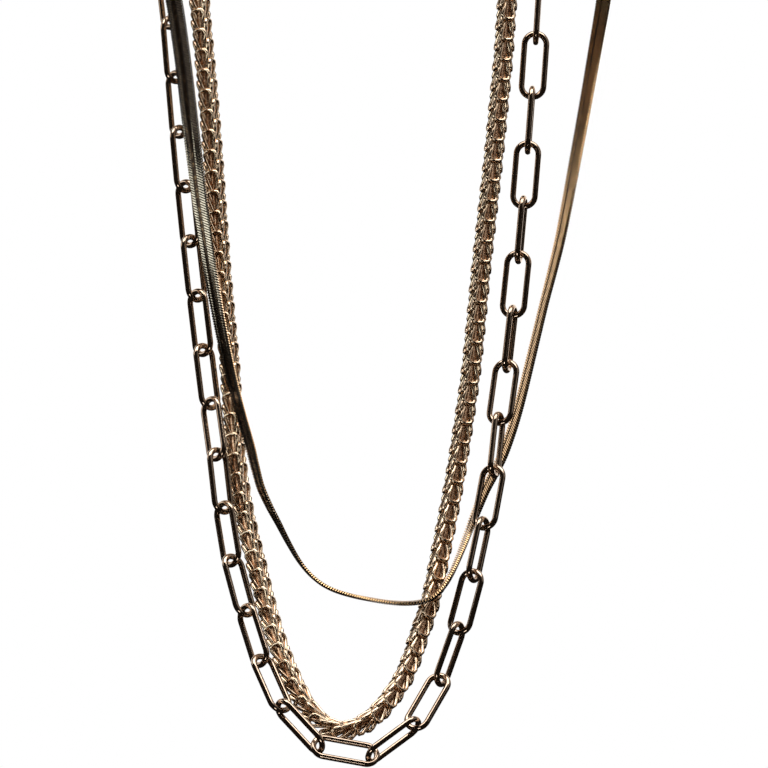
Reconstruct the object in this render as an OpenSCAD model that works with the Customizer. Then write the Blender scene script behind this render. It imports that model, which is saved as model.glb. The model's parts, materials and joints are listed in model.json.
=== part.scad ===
/* [Paperclip chain] */
// Outer length of one paperclip link
link_len = 17.5; // [15:0.25:19]
// Outer width of one paperclip link
link_w = 7; // [6:0.1:7.4]
// Diameter of the wire that a paperclip link is bent from
link_wire = 1.5; // [1.2:0.05:1.6]
// Play between two linked links of the taut chain
link_play = 0.55; // [0.3:0.05:0.8]

/* [Wheat chain] */
// Outer width of the wheat chain
wheat_d = 4.8; // [4:0.1:5.2]

/* [Flat band] */
// Width of the flat woven band
band_w = 4.3; // [3.4:0.1:4.6]
// Thickness of the flat woven band
band_t = 1.1; // [0.8:0.1:1.3]
// Width of the bevel along the band's four edges
band_bevel = 0.3; // [0.1:0.05:0.35]

/* [Clasp] */
// Diameter of the clasp's upright bar
bar_d = 5; // [4.6:0.1:6]
// Height of the bar above and below the outer strands
bar_over = 5; // [4:0.5:7]
// Distance between two strands along the bar
strand_step = 8.5; // [8:0.1:10]
// Half length of the sockets, from the bar's axis to their mouth
socket_reach = 7; // [6.5:0.1:8]
// Depth of a socket
socket_depth = 3.6; // [3:0.1:4.2]
// Wall around a socket
socket_wall = 0.8; // [0.6:0.1:1.2]
// Gap between a strand's end and the socket around it
socket_gap = 0.3; // [0.25:0.05:0.4]
// Diameter of the wire of the clasp's two eyes
eye_wire = 1.5; // [1.2:0.05:1.6]
// Half width of an eye, measured to the middle of its wire
eye_r = 1.9; // [1.7:0.05:2.2]

/* [Wearing] */
// Height of the nape above the top of the chest
chest_drop = 36; // [30:1:40]
// Distance from the nape forward to the top of the chest
chest_front = 93; // [88:1:96]
// Forward slope of the chest, as a share of its height
chest_slope = 0.1; // [0.06:0.01:0.14]
// Height of the flat upper chest, below which it swells forward
swell_start = 90; // [80:1:100]
// Forward swell of the chest 100 mm below that
swell = 22; // [14:1:26]
// Radius of the chest's sideways curve
chest_round = 260; // [220:10:400]
// Gap between the strands and the chest under them
chest_gap = 0.3; // [0.2:0.1:1]
// Gap between two strands where one passes over the other
pass_gap = 0.6; // [0.5:0.1:1]

/* [Hidden] */
// Smoothness of round sections
$fn = 48;
// Middle of the round strands at the clasp, behind the nape
clasp_y = wheat_d / 2 + socket_gap + socket_wall;
// Heights of the three strands on the clasp
wheat_z = strand_step;
link_z = 0;
band_z = -strand_step;
// Distance from the bar's axis to the bottom of a socket, and to a strand's end in it
socket_floor = socket_reach - socket_depth;
strand_end = socket_floor + socket_gap;

// Bent line of a link's wire
bend_r = (link_w - link_wire) / 2;
taut_pitch = link_len - 2 * link_wire - link_play;
// Distance from the bar's axis to where an eye and the first link hold each other
hold = (link_wire + link_play) / 2;
eye_hold = bar_d / 2 + hold + link_wire / 2 + socket_gap;
eye_end = eye_hold + hold + (eye_wire - link_wire) / 2;

// Height of a strand's middle over the chest: lying on it, or passing over another strand
low_link = chest_gap + link_w / 2;
low_wheat = chest_gap + wheat_d / 2;
low_band = chest_gap + band_w / 2;
band_over_link = low_link + link_w / 2 + pass_gap + band_t / 2;
band_over_wheat = low_wheat + wheat_d / 2 + pass_gap + band_w / 2;
link_over_wheat = low_wheat + wheat_d / 2 + pass_gap + bend_r * sin(45) + link_wire / 2;
link_over_band = low_band + band_w / 2 + pass_gap + link_w / 2;

// A point on the chest: sideways, down from the chest's top, and lifted towards the front
function swelling(down) = swell * pow(max(0, down - swell_start) / 100, 2);
function chest(x, down, lift) = [
    x,
    x * x / (2 * chest_round) - chest_front - chest_slope * down - swelling(down) - lift,
    -chest_drop - down
];

// Routes of the three strands, chosen by hand, from the clasp round one side and back
link_route = [
    [-eye_hold, clasp_y, link_z],
    [-12, clasp_y, link_z],
    [-28, 1, -0.5],
    [-45, -8, -2],
    [-56.5, -21, -4],
    [-62, -38, -6],
    [-63, -54, -8],
    [-61.3, -69, -11.5],
    [-57.5, -82, -17.5],
    chest(-54.5, -5, low_link),
    chest(-53, 10, low_link),
    chest(-51.3, 30, low_link),
    chest(-49.2, 52, low_link),
    chest(-46.5, 76, low_link),
    chest(-43.5, 100, low_link + 1.5),
    chest(-41.5, 114, link_over_wheat),
    chest(-40, 127, link_over_wheat),
    chest(-38, 139, link_over_wheat),
    chest(-34.5, 152, link_over_wheat),
    chest(-30.5, 164.5, link_over_wheat),
    chest(-25, 176.5, link_over_wheat),
    chest(-16, 185.8, low_link + 2.5),
    chest(-3.5, 188.2, low_link),
    chest(7, 181, low_link),
    chest(13.5, 170.5, low_link),
    chest(18, 158.5, low_link + 2),
    chest(21.5, 146, link_over_band),
    chest(24.5, 132.5, link_over_band),
    chest(27, 120, link_over_band),
    chest(28.5, 106.5, low_link + 3),
    chest(30.5, 92.5, low_link + 1),
    chest(33.5, 65.5, low_link),
    chest(36, 37, low_link),
    chest(38, 10, low_link),
    chest(39, -5, low_link),
    [41.5, -85.5, -18],
    [48.5, -72, -11],
    [57, -57, -8],
    [62, -40, -6],
    [60, -21, -4],
    [49, -7, -2],
    [28, 1, -0.5],
    [12, clasp_y, link_z],
    [eye_hold, clasp_y, link_z]
];
wheat_route = [
    [-strand_end, clasp_y, wheat_z],
    [-9, clasp_y, wheat_z],
    [-15, 2.8, wheat_z],
    [-26, -0.5, 8.5],
    [-39.5, -8, 7],
    [-48.5, -20, 5],
    [-53.5, -36, 2],
    [-55, -53, -2],
    [-53, -70, -8],
    [-50, -85, -17],
    chest(-47, -6, low_wheat),
    chest(-45.5, 8, low_wheat),
    chest(-43.5, 30, low_wheat),
    chest(-42, 50, low_wheat),
    chest(-40.5, 70, low_wheat),
    chest(-38.5, 92, low_wheat),
    chest(-37, 113, low_wheat),
    chest(-34.8, 128, low_wheat),
    chest(-31.5, 142, low_wheat),
    chest(-27.5, 157, low_wheat),
    chest(-22.5, 169.5, low_wheat),
    chest(-16.5, 178, low_wheat),
    chest(-9, 181, low_wheat),
    chest(-1, 176.5, low_wheat),
    chest(5.5, 167, low_wheat),
    chest(9.5, 156, low_wheat),
    chest(12.2, 147, low_wheat),
    chest(14.3, 137, low_wheat),
    chest(17.2, 122, low_wheat),
    chest(19.5, 108, low_wheat),
    chest(22, 90, low_wheat),
    chest(24.5, 65, low_wheat),
    chest(27.5, 38, low_wheat),
    chest(30, 12, low_wheat),
    chest(31.5, -6, low_wheat),
    [34.5, -84, -16.5],
    [40, -70, -8],
    [45.5, -55, -2],
    [49, -38, 2],
    [46, -22, 5],
    [38, -9, 7],
    [26, -0.5, 8.5],
    [15, 2.8, wheat_z],
    [9, clasp_y, wheat_z],
    [strand_end, clasp_y, wheat_z]
];
band_route = [
    [-strand_end, clasp_y, band_z],
    [-9, clasp_y, band_z],
    [-16, 3.2, -8.8],
    [-29, 1.5, -9.8],
    [-45, -6, -11],
    [-57, -20, -12.5],
    [-64, -39, -14],
    [-66, -59, -15],
    [-64.5, -78, -16],
    [-60.5, -92, -20],
    chest(-54.5, -8, band_over_link),
    chest(-51, 10, band_over_link),
    chest(-48.5, 30, band_over_link),
    chest(-46, 50, band_over_link),
    chest(-43, 70, band_over_link),
    chest(-40, 86, band_over_link),
    chest(-37, 99, band_over_wheat),
    chest(-33.3, 112, band_over_wheat),
    chest(-30.6, 122, band_over_wheat),
    chest(-26.2, 131, low_band + 3),
    chest(-21.5, 139.5, low_band + 1),
    chest(-17.2, 144.5, low_band),
    chest(-12, 147.5, low_band),
    chest(-4, 149.5, low_band + 1),
    chest(5, 150.5, band_over_wheat - 1),
    chest(12, 149, band_over_wheat),
    chest(16.8, 143, band_over_wheat - 1.2),
    chest(21, 133, low_band),
    chest(25, 123, low_band),
    chest(29.5, 114, low_band),
    chest(33, 104, low_band),
    chest(36, 92.5, low_band),
    chest(40, 76, low_band),
    chest(44, 60, low_band),
    chest(47.5, 42, low_band),
    chest(51, 23, low_band),
    chest(54.5, 3, low_band),
    chest(56.2, -6, low_band),
    [60, -84, -20],
    [63.5, -68, -17],
    [64, -50, -15.5],
    [61.5, -33, -14],
    [54.5, -17, -12.5],
    [43.5, -5, -11],
    [29, 1.5, -9.8],
    [16, 3.2, -8.8],
    [9, clasp_y, band_z],
    [strand_end, clasp_y, band_z]
];

// Turn of the paperclip links about their chain, by share of its length
function link_turns(last) = [
    [0, 0],
    [0.1, 0],
    [0.2, 45],
    [0.44, 45],
    [0.5, 57],
    [0.58, 60],
    [0.66, 75],
    [0.75, 88],
    [0.88, 90],
    [0.97, last],
    [1, last]
];
// Lean of the flat band about its middle line, by share of its length
band_leans = [
    [0, 0],
    [0.28, 0],
    [0.36, 48],
    [0.42, 62],
    [0.47, 88],
    [0.54, 98],
    [0.58, 120],
    [0.65, 112],
    [0.7, 127],
    [0.76, 138],
    [0.9, 180],
    [1, 180]
];

// Parts that a stretch of a route is cut into: for measuring it, and for the rings of a tube
measure_steps = 16;
ring_steps = 2;
// Links that are pieces of their own, and the ones before them round the wearer's neck
front_links = 31;
function two(n) = str(n < 10 ? "0" : "", n);
link_names = [for (i = [1 : front_links]) str("paperclip_link_", two(i))];

function unit(v) = v / norm(v);
function bend(a, b, c, d, t) = (
    2 * b + (c - a) * t + (2 * a - 5 * b + 4 * c - d) * t * t + (3 * b - a - 3 * c + d) * t * t * t
) / 2;
// Smooth curve through a route's points, with a number of steps to each stretch
function smooth(r, steps) = concat(
    [for (i = [0 : len(r) - 2]) for (k = [0 : steps - 1])
        bend(
            i > 0 ? r[i - 1] : 2 * r[0] - r[1],
            r[i],
            r[i + 1],
            i < len(r) - 2 ? r[i + 2] : 2 * r[i + 1] - r[i],
            k / steps
        )],
    [r[len(r) - 1]]
);
function travel(p) = [
    for (i = 0, s = 0; i < len(p); i = i + 1, s = i < len(p) ? s + norm(p[i] - p[i - 1]) : s) s
];
// A route that can be asked for its point at a distance along it
function measured(r) = let (p = smooth(r, measure_steps), s = travel(p)) [
    [for (i = [0 : len(p) - 1]) [s[i], p[i].x]],
    [for (i = [0 : len(p) - 1]) [s[i], p[i].y]],
    [for (i = [0 : len(p) - 1]) [s[i], p[i].z]],
    s[len(s) - 1]
];
function at(m, d) = [lookup(d, m[0]), lookup(d, m[1]), lookup(d, m[2])];

// Outward direction on the wearer: from the neck's axis behind, and straight forward on the chest
function outward(p) = let (
    round_neck = unit([p.x, p.y + chest_front / 2, 0]),
    front = min(1, max(0, (-p.y - 0.65 * chest_front) / (0.35 * chest_front)))
) unit((1 - front) * round_neck + front * [0, -1, 0]);
// Direction across a strand that lies flat on the wearer, turned by an angle about the strand
function across(p, along, turn) = let (
    flat_side = unit(cross(outward(p), along)),
    up = cross(along, flat_side)
) flat_side * cos(turn) + up * sin(turn);

// Piece placed at a point, with its x along one direction and its y along another
module place(p, along, side) {
    up = cross(along, side);
    multmatrix([
        [along.x, side.x, up.x, p.x],
        [along.y, side.y, up.y, p.y],
        [along.z, side.z, up.z, p.z],
        [0, 0, 0, 1]
    ])
        children();
}

// One paperclip link: two bends and two straight sides
module paperclip_link() {
    straight = link_len - link_w;
    for (side = [-1, 1]) {
        translate([side * straight / 2, 0, 0])
            rotate([0, 0, -side * 90])
                rotate_extrude(angle = 180)
                    translate([bend_r, 0])
                        circle(d = link_wire);
        translate([-straight / 2, side * bend_r, 0])
            rotate([0, 90, 0])
                cylinder(d = link_wire, h = straight);
    }
}

link_path = measured(link_route);
link_count = ceil(link_path[3] / taut_pitch);
link_pitch = link_path[3] / link_count;
links_before = floor((link_count - front_links) / 2);
last_turn = link_count % 2 == 1 ? 180 : 90;

// The paperclip links from one number to another, each turned a quarter from the last
module links(from, to) {
    color("rosybrown")
        for (i = [from : 1 : to]) {
            a = at(link_path, i * link_pitch);
            b = at(link_path, (i + 1) * link_pitch);
            along = unit(b - a);
            turn = lookup((i + 0.5) / link_count, link_turns(last_turn)) + 90 * (i % 2);
            place((a + b) / 2, along, across((a + b) / 2, along, turn))
                paperclip_link();
        }
}

// Solid swept along a route: an outline of as many points at each ring
module swept(route, outline, turn_at) {
    p = smooth(route, ring_steps);
    s = travel(p);
    n = len(p);
    m = len(outline);
    rings = [for (i = [0 : n - 1]) let (
        along = unit(p[min(i + 1, n - 1)] - p[max(i - 1, 0)]),
        side = across(p[i], along, lookup(s[i] / s[n - 1], turn_at)),
        up = cross(along, side)
    ) [for (q = outline) p[i] + q.x * side + q.y * up]];
    polyhedron(
        points = [for (r = rings) for (q = r) q],
        faces = concat(
            [[for (j = [m - 1 : -1 : 0]) j]],
            [for (i = [0 : n - 2]) for (j = [0 : m - 1]) let (k = (j + 1) % m)
                [i * m + j, i * m + k, (i + 1) * m + k]],
            [for (i = [0 : n - 2]) for (j = [0 : m - 1]) let (k = (j + 1) % m)
                [i * m + j, (i + 1) * m + k, (i + 1) * m + j]],
            [[for (j = [0 : m - 1]) (n - 1) * m + j]]
        ),
        convexity = 10
    );
}

module wheat_chain() {
    sides = 10;
    outline = [for (j = [0 : sides - 1])
        wheat_d / 2 * [cos(360 * j / sides), sin(360 * j / sides)]];
    color("peru")
        swept(wheat_route, outline, [[0, 0], [1, 0]]);
}

module flat_band() {
    w = band_w / 2;
    t = band_t / 2;
    b = band_bevel;
    outline = [
        [w, b - t], [w, t - b], [w - b, t], [b - w, t],
        [-w, t - b], [-w, b - t], [b - w, -t], [w - b, -t]
    ];
    color("dimgray")
        swept(band_route, outline, band_leans);
}

// Eye for the end link: a bent wire that stands out from the bar
module eye() {
    straight = eye_end - eye_r;
    translate([straight, 0, 0])
        rotate([0, 0, -90])
            rotate_extrude(angle = 180)
                translate([eye_r, 0])
                    circle(d = eye_wire);
    for (side = [-1, 1])
        translate([0, side * eye_r, 0])
            rotate([0, 90, 0])
                cylinder(d = eye_wire, h = straight);
}

module clasp() {
    bar_h = 2 * (strand_step + bar_over);
    cup_d = wheat_d + 2 * (socket_gap + socket_wall);
    slot_w = band_w + 2 * socket_gap;
    slot_t = band_t + 2 * socket_gap;
    color("goldenrod")
        translate([0, clasp_y, 0])
            difference() {
                union() {
                    translate([0, 0, -bar_h / 2])
                        cylinder(d = bar_d, h = bar_h);
                    translate([-socket_reach, 0, wheat_z])
                        rotate([0, 90, 0])
                            cylinder(d = cup_d, h = 2 * socket_reach);
                    translate([0, 0, band_z])
                        cube([
                            2 * socket_reach,
                            slot_t + 2 * socket_wall,
                            slot_w + 2 * socket_wall
                        ], center = true);
                    for (turn = [0, 180])
                        translate([0, 0, link_z])
                            rotate([0, 0, turn])
                                eye();
                }
                for (side = [-1, 1]) {
                    translate([side * (socket_floor + socket_reach) / 2, 0, wheat_z])
                        rotate([0, 90, 0])
                            cylinder(
                                d = wheat_d + 2 * socket_gap,
                                h = socket_depth + 0.001,
                                center = true
                            );
                    translate([side * (socket_floor + socket_reach) / 2, 0, band_z])
                        cube([socket_depth + 0.001, slot_t, slot_w], center = true);
                }
            }
}

for (i = [0 : front_links - 1])
    links(links_before + i, links_before + i);
links(0, links_before - 1);  // paperclip_links_left
links(links_before + front_links, link_count - 1);  // paperclip_links_right
wheat_chain();
flat_band();
clasp();
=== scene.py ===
# %% [markdown]
# # A layered necklace of three gold strands
# The real object is three chains that end in one clasp behind the neck: long paperclip links,
# a thick round wheat chain and a flat woven band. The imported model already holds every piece
# at its place and size. This lesson gives the pieces their looks: the fine wires that are too
# small for the construction, and the worn antique gold that covers all of them.

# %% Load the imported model
import json
import math

import bmesh
import bpy
import numpy as np
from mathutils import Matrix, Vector

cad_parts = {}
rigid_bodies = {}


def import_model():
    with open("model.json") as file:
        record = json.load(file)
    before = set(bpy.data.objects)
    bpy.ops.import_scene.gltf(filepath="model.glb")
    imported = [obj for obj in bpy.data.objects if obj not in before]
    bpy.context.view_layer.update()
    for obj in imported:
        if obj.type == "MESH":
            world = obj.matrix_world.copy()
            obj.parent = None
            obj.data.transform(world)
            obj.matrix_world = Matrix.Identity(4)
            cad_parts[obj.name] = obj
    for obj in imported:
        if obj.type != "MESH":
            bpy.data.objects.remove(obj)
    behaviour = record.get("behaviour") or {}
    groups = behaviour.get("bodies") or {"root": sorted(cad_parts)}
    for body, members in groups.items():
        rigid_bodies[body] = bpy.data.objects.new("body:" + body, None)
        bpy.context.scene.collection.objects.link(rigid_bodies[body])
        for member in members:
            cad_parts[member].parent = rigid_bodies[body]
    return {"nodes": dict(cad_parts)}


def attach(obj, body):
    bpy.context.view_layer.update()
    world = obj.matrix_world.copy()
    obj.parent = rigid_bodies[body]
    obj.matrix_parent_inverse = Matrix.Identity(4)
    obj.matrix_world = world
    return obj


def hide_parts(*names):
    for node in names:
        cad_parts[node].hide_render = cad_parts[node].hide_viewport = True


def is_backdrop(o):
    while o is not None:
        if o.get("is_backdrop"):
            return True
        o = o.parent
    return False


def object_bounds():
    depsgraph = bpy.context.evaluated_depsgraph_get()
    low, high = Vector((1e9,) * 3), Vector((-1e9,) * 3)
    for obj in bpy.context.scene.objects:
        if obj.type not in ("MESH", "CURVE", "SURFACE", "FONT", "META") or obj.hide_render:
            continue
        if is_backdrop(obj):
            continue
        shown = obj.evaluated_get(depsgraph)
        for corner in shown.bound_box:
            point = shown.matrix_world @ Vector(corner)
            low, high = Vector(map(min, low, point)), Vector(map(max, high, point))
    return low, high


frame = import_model()
for thing in list(bpy.data.objects):
    if not thing.name.startswith("body:") and thing.name not in frame["nodes"]:
        bpy.data.objects.remove(thing)
cad_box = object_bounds()
MM = 0.001
print("The necklace spans", [round((b - a) / MM) for a, b in zip(*cad_box)], "mm")

# %% [markdown]
# ## The camera
# The picture to match looks straight at the chest from the front. A necklace that hangs against
# the body is shown best with little perspective, so the camera stands 4 m away with a very long
# lens, like a telephoto portrait. The lens is worked out from what the frame has to span.

# %% Place the camera
FRAME_SPAN = 192 * MM
FRAME_TOP = -36 * MM
CHEST_Y = -100 * MM
CAMERA_AWAY = 4.0
SENSOR = 36

camera = bpy.data.objects.new("camera", bpy.data.cameras.new("camera"))
camera.data.sensor_width = SENSOR
camera.data.lens = SENSOR * CAMERA_AWAY / FRAME_SPAN
camera.location = (0, CHEST_Y - CAMERA_AWAY, FRAME_TOP - FRAME_SPAN / 2)
camera.rotation_euler = (math.radians(90), 0, 0)
bpy.context.scene.collection.objects.link(camera)
bpy.context.scene.camera = camera
print("The lens is", round(camera.data.lens), "mm long")

# %% [markdown]
# ## Reading a strand's middle line
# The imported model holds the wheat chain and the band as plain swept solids. Their new wires have
# to run exactly along them. A copy of the solid is merged, and its rings are read one after
# another, starting at the end in the clasp: each ring is made of the neighbours of the last one.
# The middle of a ring is a point of the line, and its longest direction is the strand's width.

# %% Read the rings of a swept strand
WELD = 0.01 * MM
WHEAT_SIDES = 10
BAND_SIDES = 8


def read_rings(name, sides):
    """Middle and widest direction of each ring, from the strand's left end to its right end."""
    mesh = bmesh.new()
    mesh.from_mesh(frame["nodes"][name].data)
    bmesh.ops.remove_doubles(mesh, verts=mesh.verts, dist=WELD)
    behind = [v for v in mesh.verts if v.co.x < 0 and v.co.y > 0]
    ring = set(sorted(behind, key=lambda v: -v.co.x)[:sides])
    seen, middles, widths = set(), [], []
    while ring:
        seen |= ring
        corners = np.array([v.co for v in ring])
        middle = corners.mean(axis=0)
        widest = np.linalg.svd(corners - middle)[2][0]
        if widths and np.dot(widest, widths[-1]) < 0:
            widest = -widest
        middles.append(middle)
        widths.append(widest)
        ring = {e.other_vert(v) for v in ring for e in v.link_edges} - seen
    mesh.free()
    return np.array(middles), np.array(widths)


wheat_line, _ = read_rings("wheat_chain", WHEAT_SIDES)
band_line, band_widths = read_rings("flat_band", BAND_SIDES)
print(len(wheat_line), "rings in the wheat chain and", len(band_line), "in the band")

# %% [markdown]
# ## A smooth curve for each strand
# The rings stand some millimetres apart, so a line straight from one to the next has corners. A
# curve that passes through all of the middles is cut much finer, and the wires will follow it
# without a kink. It is measured too, because a chain is sold by its length.

# %% Pass a smooth curve through the middles
CUTS_A_RING = 24


def smooth_curve(points):
    """Points of a smooth curve through the given ones, cut fine between each two."""
    ends = [2 * points[0] - points[1], 2 * points[-1] - points[-2]]
    p = np.vstack([ends[0], points, ends[1]])
    t = np.linspace(0, 1, CUTS_A_RING, endpoint=False)[:, None]
    a, b, c, d = (p[i:len(p) - 3 + i, None] for i in range(4))
    curve = 2 * b + (c - a) * t + (2 * a - 5 * b + 4 * c - d) * t**2 + (3 * b - a - 3 * c + d) * t**3
    return np.vstack([curve.reshape(-1, 3) / 2, points[-1]])


def length_of(curve):
    """How long a line of points is."""
    return np.linalg.norm(np.diff(curve, axis=0), axis=1).sum()


wheat_curve = smooth_curve(wheat_line)
band_curve = smooth_curve(band_line)
wheat_length = length_of(wheat_curve)
band_length = length_of(band_curve)
print("Wheat chain", round(wheat_length / MM), "mm, band", round(band_length / MM), "mm")

# %% [markdown]
# ## Even steps along a strand
# A chain is laid at even steps, so a place is asked for by its distance from the strand's end.
# The distances to all points of the curve are added up, and a place between two points is read
# in proportion. Two more places close by, before and after it, give the strand's direction.

# %% Ask for evenly spaced places on a curve
CLOSE_BY = 0.5 * MM


def unit(vectors):
    """The same directions with length 1."""
    return vectors / np.linalg.norm(vectors, axis=-1, keepdims=True)


def travelled_along(line):
    """The distance from the line's start to each of its points."""
    steps = np.linalg.norm(np.diff(line, axis=0), axis=1)
    return np.concatenate([[0], np.cumsum(steps)])


def look_up(distances, travelled, rows):
    """Rows of three numbers, read at distances between those that were travelled."""
    return np.stack([np.interp(distances, travelled, rows[:, k]) for k in range(3)], axis=1)


def places_at(curve, distances):
    """Points of a curve at distances along it, and its direction there."""
    travelled = travelled_along(curve)
    at = look_up(distances, travelled, curve)
    ahead = look_up(distances + CLOSE_BY, travelled, curve)
    before = look_up(distances - CLOSE_BY, travelled, curve)
    return at, unit(ahead - before)


halfway, _ = places_at(wheat_curve, np.array([wheat_length / 2]))
print("Half way along, the wheat chain is at", [round(c / MM) for c in halfway[0]], "mm")

# %% [markdown]
# ## Laying many copies
# A chain of hundreds of links could be hundreds of objects, but Blender gets slow with so many.
# The link is modelled once, and its corners are copied by a table of frames into one joined mesh. Each
# corner also remembers how far it stands out, which later tells the gold where it is worn bright and
# where it is painted dark in a hollow as shade.

# %% Lay copies of one piece along a strand
def lay_copies(name, model, middles, sides, alongs, outs, rises):
    """One mesh of a model's copies: its x goes to the sides, its y along and its z out."""
    corners = np.array([v.co for v in model.data.vertices])
    faces = [list(f.vertices) for f in model.data.polygons]
    frames = np.stack([sides, alongs, outs], axis=1)
    laid = middles[:, None] + np.einsum("vk,nkj->nvj", corners, frames)
    count = len(corners)
    all_faces = [[k * count + i for i in face] for k in range(len(middles)) for face in faces]
    mesh = bpy.data.meshes.new(name)
    mesh.from_pydata(laid.reshape(-1, 3).tolist(), [], all_faces)
    rise = mesh.attributes.new("rise", "FLOAT", "POINT")
    rise.data.foreach_set("value", np.tile(rises, len(middles)).astype(np.float32))
    smooth = [f.use_smooth for f in model.data.polygons] * len(middles)
    mesh.polygons.foreach_set("use_smooth", smooth)
    mesh.update()
    piece = bpy.data.objects.new(name, mesh)
    bpy.context.scene.collection.objects.link(piece)
    triangles = sum(len(f) - 2 for f in faces) * len(middles)
    print(name, "has", len(middles), "copies and", triangles, "triangles")
    return piece


# %% [markdown]
# ## One link of the wheat chain
# A wheat chain is made of small wire rings. Each ring is stretched long, pinched in the middle
# and folded up like a U, so that its two round ends stand up side by side. The next ring goes
# through both ends. Here the ring starts as a circle of points. Each group of points at the
# same distance from the fold is picked and moved by the operators to its row of a short table,
# and then the line gets the thickness of the wire.

# %% Bend the wheat link's line
LINK_POINTS = 24
# Rows from the tip to the fold: out from the middle, half the width, and height over the fold
LINK_ROWS = [
    (1.85, 0.00, 6.10),
    (1.85, 1.20, 5.85),
    (1.72, 1.55, 5.00),
    (1.40, 1.15, 3.40),
    (1.00, 0.70, 1.80),
    (0.70, 0.50, 0.30),
    (0.00, 0.50, 0.00),
]
# Closer than this, in millimetres, a point counts as being at a place
NEAR = 0.01
# A moved row waits this much higher, in millimetres, so that it isn't picked again
SET_ASIDE = 10


def pick_points(thing, wanted):
    """Select in edit mode the points whose place in millimetres the function wants."""
    bpy.ops.mesh.select_all(action="DESELECT")
    bpy.ops.object.mode_set(mode="OBJECT")
    for v in thing.data.vertices:
        v.select = bool(wanted(v.co / MM))
    bpy.ops.object.mode_set(mode="EDIT")


bpy.ops.object.select_all(action="DESELECT")
bpy.ops.mesh.primitive_circle_add(vertices=LINK_POINTS, radius=MM, location=(0, 0, 0))
link = bpy.context.object
link.name = "wheat_link"
bpy.ops.object.mode_set(mode="EDIT")
bpy.ops.mesh.select_mode(type="VERT")
for row, (out, half, height) in enumerate(LINK_ROWS):
    turn = 2 * math.pi * row / LINK_POINTS
    x, y = math.cos(turn), math.sin(turn)
    pick_points(link, lambda p: p.z < NEAR and abs(abs(p.x) - x) < NEAR and abs(abs(p.y) - y) < NEAR)
    stretch = (out / x if x > NEAR else 1, half / y if y > NEAR else 1, 1)
    bpy.ops.transform.resize(value=stretch, center_override=(0, 0, 0))
    bpy.ops.transform.translate(value=(0, 0, (height + SET_ASIDE) * MM))
bpy.ops.mesh.select_all(action="SELECT")
bpy.ops.transform.translate(value=(0, 0, -SET_ASIDE * MM))
bpy.ops.object.mode_set(mode="OBJECT")
print("The line is bent at", len(link.data.vertices), "points")

# %% [markdown]
# The line becomes a curve, and the curve's own bevel gives it a round wire's thickness. The
# bevel is coarse, because this link will be laid hundreds of times.

# %% Give the wheat link its wire
WHEAT_WIRE = 1.1 * MM

bpy.ops.object.convert(target="CURVE")
link = bpy.context.object
link.data.bevel_depth = WHEAT_WIRE / 2
link.data.bevel_resolution = 1
bpy.ops.object.convert(target="MESH")
link = bpy.context.object
bpy.ops.object.shade_smooth()
print("A wheat link is", [round(d / MM, 1) for d in link.dimensions], "mm")

# %% [markdown]
# ## The wheat chain
# Two sets of links share the strand, turned a quarter from each other, so that the chain shows
# its ears on all four sides. Every second place belongs to one set. On the chest an arrow out
# of the chain faces the viewer. Behind it, each arrow is carried on from the last one, so that
# the chain never twists suddenly. The chain's own slow roll is added to the arrows.

# %% Turn the wheat links to the front
WHEAT_PITCH = 2.56 * MM
CHEST_STARTS = -70 * MM
MOST_SLOPE = 0.5
ROLL_LEFT = 22
ROLL_RIGHT = 18
ROLL_REACH = 90 * MM


def face_front(middles, alongs, start):
    """Arrows square to a line that face the viewer on the chest and don't twist behind it."""
    fronts = np.zeros_like(alongs)
    fronts[start] = (0, -1, 0)
    order = [(start, start)] + [(i, i - 1) for i in range(start + 1, len(alongs))]
    order += [(i, i + 1) for i in range(start - 1, -1, -1)]
    for i, last in order:
        on_chest = middles[i][1] < CHEST_STARTS and abs(alongs[i][1]) < MOST_SLOPE
        arrow = np.array((0, -1, 0)) if on_chest else fronts[last]
        fronts[i] = unit(arrow - np.dot(arrow, alongs[i]) * alongs[i])
    return fronts


wheat_count = int(wheat_length / WHEAT_PITCH) - 2
distances = WHEAT_PITCH * np.arange(wheat_count) + WHEAT_PITCH
middles, alongs = places_at(wheat_curve, distances)
lowest = int(middles[:, 2].argmin())
fronts = face_front(middles, alongs, lowest)
share = np.clip((distances - distances[lowest]) / ROLL_REACH, -1, 1)
roll = np.radians((ROLL_LEFT + ROLL_RIGHT) / 2 + share * (ROLL_RIGHT - ROLL_LEFT) / 2)
roll += math.pi / 2 * (np.arange(wheat_count) % 2)
sideways = np.cross(alongs, fronts)
outs = fronts * np.cos(roll)[:, None] + sideways * np.sin(roll)[:, None]
sides = np.cross(outs, alongs)
print("The chain's lowest link is number", lowest)

# %% [markdown]
# A link remembers its rise as it is laid: none on the chain's middle line, and all of it where an ear
# stands furthest out and is rubbed by skin and cloth. The gold is painted dark as shade where the rise is
# low and worn bright where it is high.

# %% Lay the wheat links
EAR_REACH = 2.3 * MM

corners = np.array([v.co for v in link.data.vertices])
reach = np.hypot(corners[:, 0], corners[:, 1])
# Low rise near the middle line becomes painted shade in the gold, high rise at the ear tips becomes wear
rises = np.clip(reach / EAR_REACH, 0, 1)
# The link stands along its own z, so its axes are named in the order that laying wants
for v in link.data.vertices:
    v.co = (v.co.x, -v.co.z, v.co.y)
wheat = lay_copies("wheat_loops", link, middles, sides, alongs, outs, rises)
bpy.data.objects.remove(link)
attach(wheat, "root")
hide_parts("wheat_chain")

# %% [markdown]
# ## The inside of a chain
# Between the wires one looks into the inside of the chain, which lies in shade. The real inside is more
# of the same wires, too dark to tell apart, so one plain tube stands for them. It is closed at both ends,
# and its normals are turned outwards.

# %% Sweep a closed tube along a line
INSIDE_SIDES = 8


def select_only(*things):
    """Select these objects and nothing else, with the first one active."""
    bpy.ops.object.select_all(action="DESELECT")
    for thing in things:
        thing.select_set(True)
    bpy.context.view_layer.objects.active = things[0]


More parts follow.
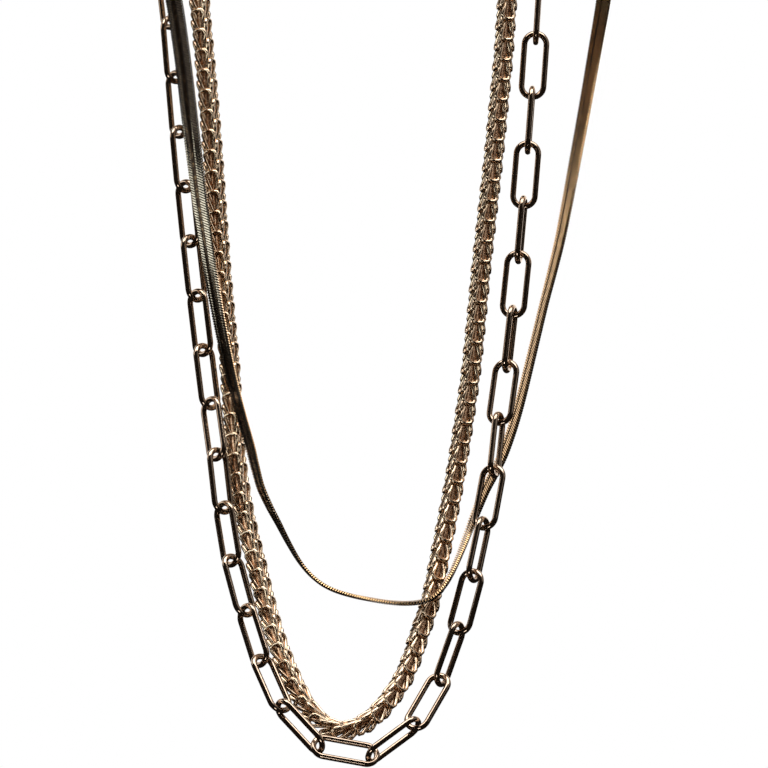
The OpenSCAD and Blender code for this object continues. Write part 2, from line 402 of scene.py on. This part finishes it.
def sweep_tube(name, middles, sides, outs, half_width, half_height):
    """A closed tube along a line with an oval section."""
    count = INSIDE_SIDES
    last = (len(middles) - 1) * count
    angles = 2 * math.pi * np.arange(count) / count
    rings = middles[:, None] + half_width * np.cos(angles)[None, :, None] * sides[:, None]
    rings += half_height * np.sin(angles)[None, :, None] * outs[:, None]
    faces = []
    for start in range(0, last, count):
        for j in range(count):
            beside = (j + 1) % count
            faces.append((start + j, start + beside, start + count + beside, start + count + j))
    faces.append(tuple(range(count))[::-1])
    faces.append(tuple(last + j for j in range(count)))
    mesh = bpy.data.meshes.new(name)
    mesh.from_pydata(rings.reshape(-1, 3).tolist(), [], faces)
    rise = mesh.attributes.new("rise", "FLOAT", "POINT")
    rise.data.foreach_set("value", np.zeros(len(mesh.vertices), np.float32))
    tube = bpy.data.objects.new(name, mesh)
    bpy.context.scene.collection.objects.link(tube)
    select_only(tube)
    bpy.ops.object.mode_set(mode="EDIT")
    bpy.ops.mesh.select_all(action="SELECT")
    bpy.ops.mesh.normals_make_consistent(inside=False)
    bpy.ops.object.mode_set(mode="OBJECT")
    bpy.ops.object.shade_smooth()
    print(name, "has", len(faces), "faces")
    return tube


# %% [markdown]
# The wheat chain is round, and so is its inside. The tube starts and ends a little short of the
# strand's own ends, so that it shows nowhere past the last links.

# %% Fill the wheat chain with its dark inside
CORE_RADIUS = 1.2 * MM
CORE_RINGS = 260
CORE_STARTS = 0.4 * MM

core_at = np.linspace(CORE_STARTS, wheat_length - CORE_STARTS, CORE_RINGS)
core_middles, core_alongs = places_at(wheat_curve, core_at)
core_fronts = face_front(core_middles, core_alongs, int(core_middles[:, 2].argmin()))
core_sides = np.cross(core_fronts, core_alongs)
core = sweep_tube("wheat_inside", core_middles, core_sides, core_fronts, CORE_RADIUS, CORE_RADIUS)
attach(core, "root")
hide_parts("wheat_chain")

# %% [markdown]
# ## One wire of the flat band
# The band is woven of very fine wires. Its front shows two columns of short slanted wires with a
# groove between them, and its back shows the same with hardly a gap. At both edges each wire
# bends round and meets the one of the other side, which gives the edge its teeth. A sheet with a
# bump could look so from the front, but here the gaps are also seen from the side, so they are
# real. A wire starts as a cube that is stretched into a bar and narrowed at its top.

# %% Stretch a cube into a bar
WIRE_FOOT = 0.39 * MM
WIRE_TOP = 0.34 * MM
# The bar's lower and upper side, in millimetres from the band's middle plane
WIRE_LOW, WIRE_HIGH = 0.01, 0.55


def narrowed_bar(wide):
    """A bar across the band that is narrower at the top, left in edit mode."""
    bpy.ops.object.select_all(action="DESELECT")
    bpy.ops.mesh.primitive_cube_add(size=1, location=(0, 0, 0))
    bar = bpy.context.object
    bpy.ops.object.mode_set(mode="EDIT")
    bpy.ops.mesh.select_mode(type="VERT")
    bpy.ops.mesh.select_all(action="SELECT")
    bpy.ops.transform.resize(value=(wide, WIRE_FOOT, (WIRE_HIGH - WIRE_LOW) * MM))
    bpy.ops.transform.translate(value=(0, 0, (WIRE_HIGH + WIRE_LOW) / 2 * MM))
    pick_points(bar, lambda p: p.z > WIRE_LOW + NEAR)
    bpy.ops.transform.resize(value=(1, WIRE_TOP / WIRE_FOOT, 1))
    return bar


print("A bar's top is", round(WIRE_TOP / WIRE_FOOT, 2), "times as wide as its foot")

# %% [markdown]
# A bevel would round every edge of the bar alike. The real wire only bends down at its ends, so
# the bar is cut near both of them, and its top is lowered there step by step.

# %% Round the ends of a bar
# Distance from the end, and how far the top lies lower there, in millimetres
ROUND_FRONT = [(0.55, 0.03), (0.22, 0.09), (0.07, 0.22), (0, 0.48)]
ROUND_BACK = [(0.25, 0.04), (0.08, 0.18), (0, 0.48)]
# The last tenth of a millimetre of an end is narrower than the rest
END_LENGTH = 0.1
END_WIDTH = 0.75


def round_ends(bar, wide, round_end):
    """Cut a bar near its ends, lower its top there and narrow the very ends."""
    for from_end, _ in round_end[:-1]:
        for side in (-1, 1):
            bpy.ops.mesh.select_all(action="SELECT")
            cut = side * (wide / 2 - from_end * MM)
            bpy.ops.mesh.bisect(plane_co=(cut, 0, 0), plane_no=(1, 0, 0))
    lower_by = 0
    for from_end, drop in round_end:
        reach = wide / 2 / MM - from_end - NEAR
        pick_points(bar, lambda p: p.z > WIRE_LOW + NEAR and abs(p.x) > reach)
        bpy.ops.transform.translate(value=(0, 0, (lower_by - drop) * MM))
        lower_by = drop
    pick_points(bar, lambda p: abs(p.x) > wide / 2 / MM - END_LENGTH)
    bpy.ops.transform.resize(value=(1, END_WIDTH, 1), center_override=(0, 0, 0))


print("The front's wires are rounded in", len(ROUND_FRONT), "steps, the back's in", len(ROUND_BACK))

# %% [markdown]
# ## One row of the flat band
# A row has two wires on each side of the band, and the groove between them lies a little to one
# side of the middle. All of them are slanted by moving each corner down as far as it lies across,
# times a slope. The wires of the back are made like those of the front, and the pair is then
# turned over.

# %% Slant and join the wires of one row
BAND_WIDTH = 4.3 * MM
BAND_EDGE = BAND_WIDTH / 2
ROW_PITCH = 0.66 * MM
# A wire runs down two rows from the middle to the edge, so front and back wires meet there
SLOPE = 2 * ROW_PITCH / BAND_EDGE
SPLIT = 0.25 * MM
FRONT_GROOVE = 0.14 * MM
BACK_GROOVE = 0.05 * MM


def rounded_wire(across_from, across_to, round_end):
    """A slanted wire that is narrower at the top and rounded at both ends."""
    wide, middle = across_to - across_from, (across_from + across_to) / 2
    wire = narrowed_bar(wide)
    round_ends(wire, wide, round_end)
    bpy.ops.object.mode_set(mode="OBJECT")
    for v in wire.data.vertices:
        v.co.x += middle
        v.co.y -= SLOPE * v.co.x
    return wire


def join_parts(parts):
    """Join several objects into the first one."""
    select_only(*parts)
    bpy.ops.object.join()
    return bpy.context.object


front_row = join_parts([
    rounded_wire(-BAND_EDGE, SPLIT - FRONT_GROOVE, ROUND_FRONT),
    rounded_wire(SPLIT + FRONT_GROOVE, BAND_EDGE, ROUND_FRONT),
])
back_row = join_parts([
    rounded_wire(-BAND_EDGE, -SPLIT - BACK_GROOVE, ROUND_BACK),
    rounded_wire(-SPLIT + BACK_GROOVE, BAND_EDGE, ROUND_BACK),
])
bpy.ops.object.mode_set(mode="EDIT")
bpy.ops.mesh.select_all(action="SELECT")
bpy.ops.transform.rotate(value=math.pi, orient_axis="Y", center_override=(0, 0, 0))
bpy.ops.object.mode_set(mode="OBJECT")
print("A row of the band has", len(front_row.data.polygons) + len(back_row.data.polygons), "faces")

# %% [markdown]
# ## The flat band
# The rows follow the band's own width direction, so they lean and turn over with it: the front
# faces the viewer on the left, the band lies edge-on at its lowest point, and its back shows on
# the right. The rings' widths are read at even steps and set square to the strand. If the outer
# arrow points away from the viewer on the left, both arrows are turned round.

# %% Turn the rows with the band
FACING_Z = -70 * MM

row_count = int(band_length / ROW_PITCH) - 1
distances = ROW_PITCH * (np.arange(row_count) + 0.5) + (band_length - ROW_PITCH * row_count) / 2
middles, alongs = places_at(band_curve, distances)
ring_at = travelled_along(band_line)
ring_at *= band_length / ring_at[-1]
sides = look_up(distances, ring_at, band_widths)
sides = unit(sides - (sides * alongs).sum(axis=1, keepdims=True) * alongs)
outs = np.cross(sides, alongs)
on_left = np.where(middles[:, 0] > 0, np.inf, np.abs(middles[:, 2] - FACING_Z))
if outs[int(on_left.argmin())][1] > 0:
    sides, outs = -sides, -outs
print("The band takes", row_count, "rows")

# %% [markdown]
# The tops of the wires and the teeth at the edges are what is rubbed bright, so these corners get the
# full rise. The flanks of the wires and the gaps between them are painted dark, as shade.

# %% Lay the rows of the band
TEETH = 0.12 * MM

band_pieces = []
for name, row in [("band_front", front_row), ("band_back", back_row)]:
    corners = np.abs([v.co for v in row.data.vertices])
    at_edge = corners[:, 0] > BAND_EDGE - TEETH
    # Low rise on the flanks and in the gaps becomes painted shade, high rise on the tops and teeth
    # becomes wear
    rises = np.where(at_edge, 1, corners[:, 2] / (WIRE_HIGH * MM))
    piece = lay_copies(name, row, middles, sides, alongs, outs, rises)
    bpy.data.objects.remove(row)
    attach(piece, "root")
    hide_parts("flat_band")
    band_pieces.append(piece)

# %% [markdown]
# The band also gets a nearly black inside, a flat tube that stops short of the teeth and paints shade
# into the gaps between the wires. The band bends so slowly that one ring for every three rows is enough.

# %% Fill the band with its inside of painted shade
INSIDE_HALF_WIDTH = BAND_EDGE - 0.45 * MM
INSIDE_HALF_HEIGHT = 0.3 * MM
ROWS_A_RING = 3

ring_middles, ring_sides, ring_outs = (rows[::ROWS_A_RING] for rows in (middles, sides, outs))
# A nearly black tube: painted shade seen through the gaps between the band's wires
band_shade_core = sweep_tube(
    "band_shade_inside", ring_middles, ring_sides, ring_outs, INSIDE_HALF_WIDTH, INSIDE_HALF_HEIGHT
)
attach(band_shade_core, "root")
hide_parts("flat_band")

# %% [markdown]
# ## Antique gold
# All strands are plated in a pink-brown or yellower gold and darkened. Where the gold is rubbed it
# shines, and in the hollows it is painted nearly black, partly for the dark patina there and partly as
# shade. The colour could be painted by hand, but a pattern of noise at the size of real tarnish spots
# covers hundreds of links at once.

# %% Make noise and stretch its range
SPOTS_DETAIL = 4
SPOTS_RANGE = {"From Min": 0.35, "From Max": 0.62}


def noise(tree, place, size, detail):
    """Noise whose spots have the given size in metres."""
    node = tree.nodes.new("ShaderNodeTexNoise")
    node.inputs["Scale"].default_value = 1 / size
    node.inputs["Detail"].default_value = detail
    tree.links.new(place, node.inputs["Vector"])
    return node.outputs["Fac"]


def stretched(tree, value, ends):
    """A value through a Map Range node, with the ends that are named."""
    node = tree.nodes.new("ShaderNodeMapRange")
    for socket, end in ends.items():
        node.inputs[socket].default_value = end
    tree.links.new(value, node.inputs["Value"])
    return node.outputs["Result"]


print("Tarnish spots take the noise between", *SPOTS_RANGE.values())

# %% [markdown]
# The wheat links and the band's wires carry their rise in the mesh. It is stretched to the heights
# between which the gold turns from painted shade to worn bright, and some of the spots are added, so that
# the border between them isn't a clean line.

# %% Paint shade where the gold lies low and wear where it stands out
SPOTS_SHARE = 0.35
DARKER_BY = 0.2


def shade_and_wear(tree, spots, low, high):
    """How bright the gold is, from its rise between low and high and from the spots: low rise is painted
    shade, high rise is wear.
    """
    rise = tree.nodes.new("ShaderNodeAttribute")
    rise.attribute_name = "rise"
    # Low rise gives painted shade, high rise gives wear; the spots stand for tarnish
    shade_and_wear_rise = stretched(tree, rise.outputs["Fac"], {"From Min": low, "From Max": high})
    both = tree.nodes.new("ShaderNodeMath")
    both.operation = "MULTIPLY_ADD"
    tree.links.new(spots, both.inputs[0])
    both.inputs[1].default_value = SPOTS_SHARE
    tree.links.new(shade_and_wear_rise, both.inputs[2])
    less = tree.nodes.new("ShaderNodeMath")
    less.operation = "SUBTRACT"
    less.use_clamp = True
    tree.links.new(both.outputs[0], less.inputs[0])
    less.inputs[1].default_value = DARKER_BY
    return less.outputs[0]


print("The spots count for", SPOTS_SHARE, "of the rub")

# %% [markdown]
# Plated wire that is worn has a satin grain of fine scratches and pits. One fine noise varies
# the roughness, and the same noise is a very low bump, so that the gloss breaks up in the same
# places.

# %% Give the gold a satin grain
GRAIN_SIZE = 0.25 * MM
GRAIN_DETAIL = 3
GRAIN_DEPTH = 0.05 * MM


def satin_grain(tree, place, shader, rough, bumps):
    """Roughness between two values, and a bump, from one fine noise."""
    grain = noise(tree, place, GRAIN_SIZE, GRAIN_DETAIL)
    satin = stretched(tree, grain, {"To Min": rough[0], "To Max": rough[1]})
    tree.links.new(satin, shader.inputs["Roughness"])
    bump = tree.nodes.new("ShaderNodeBump")
    bump.inputs["Strength"].default_value = bumps
    bump.inputs["Distance"].default_value = GRAIN_DEPTH
    tree.links.new(grain, bump.inputs["Height"])
    tree.links.new(bump.outputs["Normal"], shader.inputs["Normal"])


print("The grain is", round(GRAIN_SIZE / MM, 2), "mm wide")

# %% [markdown]
# Each strand has a mix of its own: a bright and a dark colour, how rough the satin is, the size of the
# spots, the strength of the bumps, and the heights between which it turns from painted shade to rubbed
# bright. The paperclip links and the wheat chain's inside have no hollows, so they get no such heights.

# %% Mix antique gold for each strand
def antique_gold(name, bright, dark, rough, spot, bumps, shade_and_wear_heights=None):
    """Worn plated gold: bright where it stands out, painted dark as shade where it lies low."""
    material = bpy.data.materials.new(name)
    material.use_nodes = True
    tree = material.node_tree
    shader = tree.nodes["Principled BSDF"]
    shader.inputs["Metallic"].default_value = 1
    place = tree.nodes.new("ShaderNodeTexCoord").outputs["Object"]
    shown = stretched(tree, noise(tree, place, spot, SPOTS_DETAIL), SPOTS_RANGE)
    if shade_and_wear_heights:
        shown = shade_and_wear(tree, shown, *shade_and_wear_heights)
    tone = tree.nodes.new("ShaderNodeMix")
    tone.data_type = "RGBA"
    tone.inputs["A"].default_value = (*dark, 1)
    tone.inputs["B"].default_value = (*bright, 1)
    tree.links.new(shown, tone.inputs["Factor"])
    tree.links.new(tone.outputs["Result"], shader.inputs["Base Color"])
    satin_grain(tree, place, shader, rough, bumps)
    print(name, "is mixed from", len(tree.nodes), "nodes")
    return material


paperclip_gold = antique_gold(
    "paperclip gold", (0.58, 0.45, 0.35), (0.42, 0.32, 0.24), (0.08, 0.16), 1.2 * MM, 0.03
)
wheat_gold = antique_gold(
    "wheat gold", (0.80, 0.62, 0.45), (0.34, 0.20, 0.12), (0.10, 0.22), 0.7 * MM, 0.2, (0.3, 0.7)
)
inside_gold = antique_gold(
    "inside gold", (0.80, 0.52, 0.34), (0.34, 0.18, 0.10), (0.2, 0.35), 0.6 * MM, 1.0
)
# The bands' near-black dark colour is painted shade in their grooves, and also the tone of their tarnish
# spots
band_front_gold = antique_gold(
    "band front gold", (0.60, 0.52, 0.42), (0.03, 0.022, 0.016), (0.14, 0.26), 0.8 * MM, 0.1, (0.78, 0.98)
)
band_back_gold = antique_gold(
    "band back gold", (0.78, 0.51, 0.27), (0.04, 0.026, 0.018), (0.18, 0.3), 0.8 * MM, 0.15, (0.78, 0.98)
)

# %% [markdown]
# The new pieces take the gold of their strand. The band's back is a redder gold than its front, and its
# inside lies at rise 0, where that gold is nearly black as painted shade. The paperclip links and the
# clasp are shown as the imported model has them, so their own plain finish is swapped for gold.

# %% Put the gold on the strands
dressed = [
    (wheat, wheat_gold),
    (core, inside_gold),
    (band_pieces[0], band_front_gold),
    (band_pieces[1], band_back_gold),
    (band_shade_core, band_back_gold),
]
for piece, material in dressed:
    piece.data.materials.append(material)
paperclip_pieces = [node for name, node in frame["nodes"].items() if name.startswith("paperclip")]
packed_pieces = paperclip_pieces + [frame["nodes"]["clasp"]]
for node in packed_pieces:
    node.data.materials.clear()
    node.data.materials.append(paperclip_gold)
print("The gold is on", len(packed_pieces), "packed pieces and", len(dressed), "new ones")

# %% [markdown]
# ## The floor
# The photograph's ground is plain white. A pale floor lies well below the frame, where only
# other views show it, and it is kept out of the reflections, so that it adds no light of its
# own to the polished wires.

# %% Lay the floor
FLOOR_Z = -300 * MM
FLOOR_SIZE = 4
PALE = (0.85, 0.85, 0.85, 1)

bpy.ops.object.select_all(action="DESELECT")
bpy.ops.mesh.primitive_plane_add(size=FLOOR_SIZE, location=(0, 0, FLOOR_Z))
floor = bpy.context.object
floor.name = "floor"
floor.visible_glossy = False
floor_paint = bpy.data.materials.new("floor paint")
floor_paint.use_nodes = True
floor_paint.node_tree.nodes["Principled BSDF"].inputs["Base Color"].default_value = PALE
floor.data.materials.append(floor_paint)
floor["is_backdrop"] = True
print("The floor lies", round(-FLOOR_Z / MM), "mm below the nape")

# %% [markdown]
# ## The lamps
# Polished wire shows its lamps more than its own colour. In a dark room with a few soft boxes
# each wire is nearly black with one or two cream stripes, which is how the real necklace was
# lit. A photographer shades a lamp with black flags, so that it reaches one strand and not the
# next. Here a lamp's light linking does that: it names the pieces that the lamp lights.

# %% Hang the lamps for everything
CREAM = (1.0, 0.96, 0.91)
COOL = (0.93, 1.0, 0.97)
WHITE = (1, 1, 1)
# This many watts a square metre make a lamp as bright as a shine of 1
WATTS = 4


def soft_box(name, azimuth, elevation, width, height, shine, colour, only):
    """A rectangular lamp 1 m from the necklace, as bright as its shine in a mirror."""
    turn, lift = math.radians(azimuth), math.radians(elevation)
    aim = Vector((0, CHEST_Y, FRAME_TOP - FRAME_SPAN / 2))
    away = Vector((math.sin(turn) * math.cos(lift), -math.cos(turn) * math.cos(lift), math.sin(lift)))
    lamp = bpy.data.lights.new(name, "AREA")
    lamp.shape = "RECTANGLE"
    lamp.size, lamp.size_y = width, height
    lamp.energy = WATTS * shine * width * height
    lamp.color = colour
    box = bpy.data.objects.new(name, lamp)
    box.location = aim + away
    box.rotation_euler = (-away).to_track_quat("-Z", "Y").to_euler()
    box.visible_camera = False
    bpy.context.scene.collection.objects.link(box)
    if only:
        lit = bpy.data.collections.new(name + " lights")
        for piece in only:
            lit.objects.link(piece)
        box.light_linking.receiver_collection = lit


def hang_lamps(lamps, only=()):
    """Lamps with name, azimuth, elevation, width, height, shine and colour, for some pieces only."""
    for lamp in lamps:
        soft_box(*lamp, only)
    print("Hung", [lamp[0] for lamp in lamps], "for", len(only) or "all", "pieces")


hang_lamps([
    ("top", 0, 75, 1.4, 0.7, 3.0, CREAM),
    ("back", 175, 20, 1.6, 0.9, 1.1, CREAM),
])
hang_lamps([("floor wash", 0, 90, 4, 4, 1.3, WHITE)], [floor])

# %% [markdown]
# The paperclip links are the plainest wires, and too many lamps would show on them as a mess of
# stripes. They have a lamp at each side and a small bright one below.

# %% Hang the lamps for the paperclip links
hang_lamps([
    ("links left wall", -104, 20, 0.8, 0.4, 1.0, CREAM),
    ("links right wall", 80, 30, 1.3, 0.7, 0.2, CREAM),
    ("links low", -8, -30, 0.3, 0.2, 4, CREAM),
], paperclip_pieces)

# %% [markdown]
# The wheat chain has loops that face every way, so its lamps stand all round the front: a cool
# key on the left, a large weak one on the right, and small ones in front, high and low that pick
# out single ears.

# %% Hang the lamps for the wheat chain
hang_lamps([
    ("wheat key", -60, 8, 0.8, 0.35, 1.9, COOL),
    ("wheat front", 20, 8, 0.35, 0.2, 1.5, CREAM),
    ("wheat left", -80, 38, 0.6, 0.3, 0.25, CREAM),
    ("wheat high left", -35, 45, 0.3, 0.3, 0.5, CREAM),
    ("wheat right", 85, 15, 1.0, 0.6, 0.4, CREAM),
    ("wheat high right", 45, 45, 0.3, 0.3, 2.5, CREAM),
    ("wheat low", -8, -25, 0.5, 0.2, 1.5, CREAM),
], [wheat, core])

# %% [markdown]
# The band is a flat mirror of fine ribs that turns as it goes, so each lamp shows mainly in one
# stretch of it. Two stand on the left, one in front, three on the right and behind it, and one
# below for the lowest part, which is edge-on.

# %% Hang the lamps for the band
hang_lamps([
    ("band key", -58, 5, 0.8, 0.28, 1.7, COOL),
    ("band side", -125, 19, 0.6, 0.42, 1.3, CREAM),
    ("band front", -8, 14, 0.5, 0.2, 0.2, CREAM),
    ("band right", 32, 16, 0.3, 0.15, 3.2, CREAM),
    ("band right wall", 95, 12, 0.8, 0.5, 0.75, CREAM),
    ("band low", 0, -38, 0.5, 0.9, 1.3, CREAM),
    ("band right back", 140, 10, 0.8, 0.5, 2.2, CREAM),
], band_pieces + [band_shade_core])

# %% [markdown]
# ## The room
# The wires reflect a nearly black room, which gives them their dark parts. The camera alone sees
# a white one behind the necklace, as in the photograph. The light path node tells the two apart.

# %% Darken the room behind a white ground
ROOM_DARK = (0.014, 0.011, 0.009, 1)

room = bpy.data.worlds.new("room")
bpy.context.scene.world = room
room.use_nodes = True
tree = room.node_tree
dim = tree.nodes["Background"]
dim.inputs["Color"].default_value = ROOM_DARK
white = tree.nodes.new("ShaderNodeBackground")
white.inputs["Color"].default_value = (*WHITE, 1)
rays = tree.nodes.new("ShaderNodeLightPath")
choose = tree.nodes.new("ShaderNodeMixShader")
tree.links.new(rays.outputs["Is Camera Ray"], choose.inputs["Fac"])
tree.links.new(dim.outputs["Background"], choose.inputs[1])
tree.links.new(white.outputs["Background"], choose.inputs[2])
tree.links.new(choose.outputs["Shader"], tree.nodes["World Output"].inputs["Surface"])
bpy.context.scene.view_settings.view_transform = "Standard"
print("The room is lit by", len(bpy.data.lights), "lamps")

# %% [markdown]
# ## The two boxes
# How far each corner of the dressed necklace's box lies from the imported model's box is printed.
# The dressed necklace must stay inside the imported model's box.

# %% Print how far the corners moved
dressed_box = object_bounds()
for corner, was, now in zip(("low", "high"), cad_box, dressed_box):
    print("The", corner, "corner moved by", [round((b - a) / MM, 2) for a, b in zip(was, now)], "mm")
